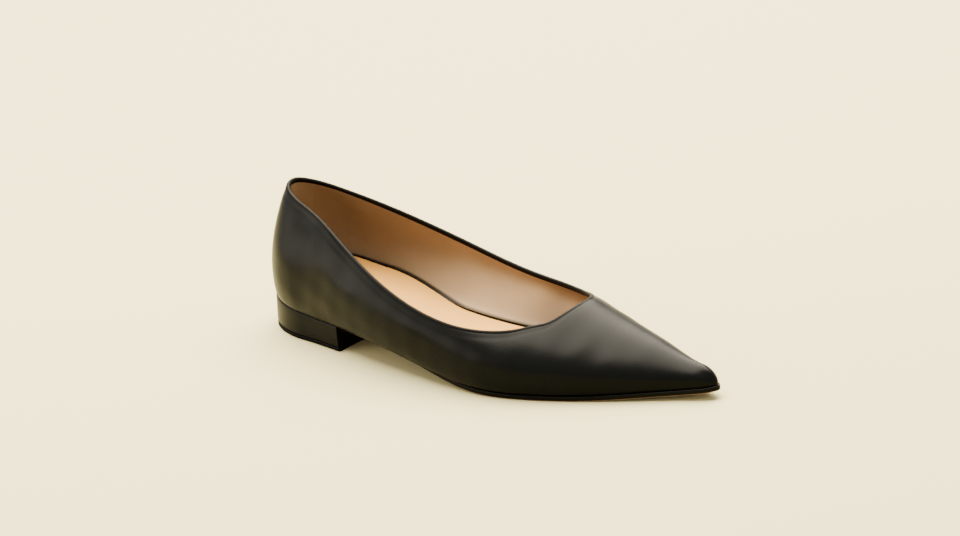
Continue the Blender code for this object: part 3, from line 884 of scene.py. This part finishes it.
def make_block(name, low, high, drawn_in, material):
    """A slice of the heel between two heights, low and high, which are functions of x.

    At each height the outline of the feather line is moved out by a margin, and its back by a
    rake, both of which change evenly from the floor to the top.
    """
    x = eased(0, BREAST * 2, 120)[:61]
    turn = np.linspace(0, np.pi / 2, 6)
    bottom = low(x)
    top = high(x)
    whole = feather_height(x) - GAP
    levels = np.concatenate([bottom[:, None] + HEEL_EDGE * (1 - np.cos(turn)),
                             bottom[:, None] + (top - bottom)[:, None] * np.linspace(0.3, 0.7, 3),
                             top[:, None] - HEEL_EDGE * (1 - np.sin(turn))], axis=1)
    edge = np.concatenate([-HEEL_EDGE * (1 - np.sin(turn)), np.zeros(3),
                           -HEEL_EDGE * (1 - np.cos(turn))]) - drawn_in
    share = levels / whole[:, None]
    margin = edge + HEEL_PROUD + HEEL_FLARE * (1 - share)
    back = HEEL_RAKE_FOOT + (HEEL_RAKE_TOP - HEEL_RAKE_FOOT) * share
    across = x[:, None] + 0 * margin
    outer = outline_point(OUTER, across, margin, levels, back, BREAST)
    inner = outline_point(INNER, across, margin, levels, back, BREAST)
    run = np.concatenate([outer, inner[:, ::-1]], axis=1)
    around = run.shape[1]
    return make_piece(name, run, grid_quads(len(x), around, around=True), material,
                      uv=arc_uv(run), caps=end_caps(len(x), around), sharp=60)


heel_wrap = make_block("heel_wrap", lambda x: LIFT + 0.0001 + 0 * x,
                       lambda x: feather_height(x) - GAP, 0.0, heel_leather)
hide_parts("heel")
top_lift = make_block("top_lift", lambda x: 0 * x, lambda x: LIFT + 0 * x, 0.0001, rubber)

# %% [markdown]
# ## Floor, light and camera
#
# The shoe stands on warm cream paper. A large soft light hangs high above it and a little behind,
# and lays a broad grey highlight on the vamp. A second one, lower and further behind, lifts the
# far side, and a weak one from the front left keeps the near side from going black. The leather
# is nearly black and the lights are strong, which gives bright paper and deep leather at once.
# The camera's place comes from fitting the last to the outlines of the shoe, and its narrow view
# from far away keeps them true.

# %% Floor
FLOOR_COLOUR = (0.305, 0.280, 0.155)
paper = bpy.data.materials.new("paper")
paper.use_nodes = True
paper_shader = paper.node_tree.nodes["Principled BSDF"]
paper_shader.inputs["Base Color"].default_value = (*FLOOR_COLOUR, 1)
paper_shader.inputs["Roughness"].default_value = 0.9
paper_shader.inputs["Specular IOR Level"].default_value = 0.1
floor_mesh = bpy.data.meshes.new("floor")
floor_mesh.from_pydata([(-6, -6, 0), (6, -6, 0), (6, 6, 0), (-6, 6, 0)], [], [(0, 1, 2, 3)])
floor_mesh.materials.append(paper)
floor = bpy.data.objects.new("floor", floor_mesh)
bpy.context.scene.collection.objects.link(floor)

# %% Light
world = bpy.data.worlds.new("studio")
world.use_nodes = True
world.node_tree.nodes["Background"].inputs["Color"].default_value = (1.0, 0.92, 0.80, 1)
world.node_tree.nodes["Background"].inputs["Strength"].default_value = 2.4
bpy.context.scene.world = world

WARM = (1.0, 0.90, 0.72)


def soft_light(name, place, target, size, watts, colour, turned=0.0):
    """A rectangular area light at a place, aimed at a target and turned about the upright."""
    light = bpy.data.lights.new(name, "AREA")
    light.shape = "RECTANGLE"
    light.size, light.size_y = size
    light.energy = watts
    light.color = colour
    lamp = bpy.data.objects.new(name, light)
    bpy.context.scene.collection.objects.link(lamp)
    lamp.location = place
    aim = (Vector(target) - Vector(place)).to_track_quat("-Z", "Y").to_matrix()
    lamp.rotation_euler = (Matrix.Rotation(turned, 3, "Z") @ aim).to_euler()
    return lamp


soft_light("key", (-0.22, 0.405, 1.6), (-0.22, 0.405, 0), (1.4, 2.4), 425.0, WARM,
           np.radians(-20.7))
soft_light("back", (-1.00, 1.13, 1.20), (0, 0, 0.03), (1.6, 0.8), 90.0, WARM)
soft_light("left", (-1.25, -1.1, 0.50), (0, 0, 0.03), (1.4, 0.9), 34.0, WARM)

# %% Camera
AZIMUTH = np.radians(41.73)
ELEVATION = np.radians(20.48)
ROLL = np.radians(-6.47)
DISTANCE = 2.61285
FOCAL_PIXELS = 5492.18
PICTURE = (960, 536)
SHIFT_PIXELS = (1.28, 51.85)
TARGET = Vector(PLACE + np.array([0.1298, 0, 0.0200]))

right = Vector((np.cos(AZIMUTH), np.sin(AZIMUTH), 0))
forward = Vector((-np.sin(AZIMUTH) * np.cos(ELEVATION), np.cos(AZIMUTH) * np.cos(ELEVATION),
                  -np.sin(ELEVATION)))
up = right.cross(forward)
rolled_right = right * np.cos(ROLL) + up * np.sin(ROLL)
rolled_up = up * np.cos(ROLL) - right * np.sin(ROLL)
view = bpy.data.cameras.new("view")
view.sensor_width = 36.0
view.lens = FOCAL_PIXELS / PICTURE[0] * view.sensor_width
view.shift_x = -SHIFT_PIXELS[0] / PICTURE[0]
view.shift_y = SHIFT_PIXELS[1] / PICTURE[0]
view.clip_start = 0.1
view.clip_end = 30.0
camera = bpy.data.objects.new("view", view)
bpy.context.scene.collection.objects.link(camera)
turn = Matrix((rolled_right, rolled_up, -forward)).transposed().to_4x4()
camera.matrix_world = Matrix.Translation(TARGET - forward * DISTANCE) @ turn
bpy.context.scene.camera = camera
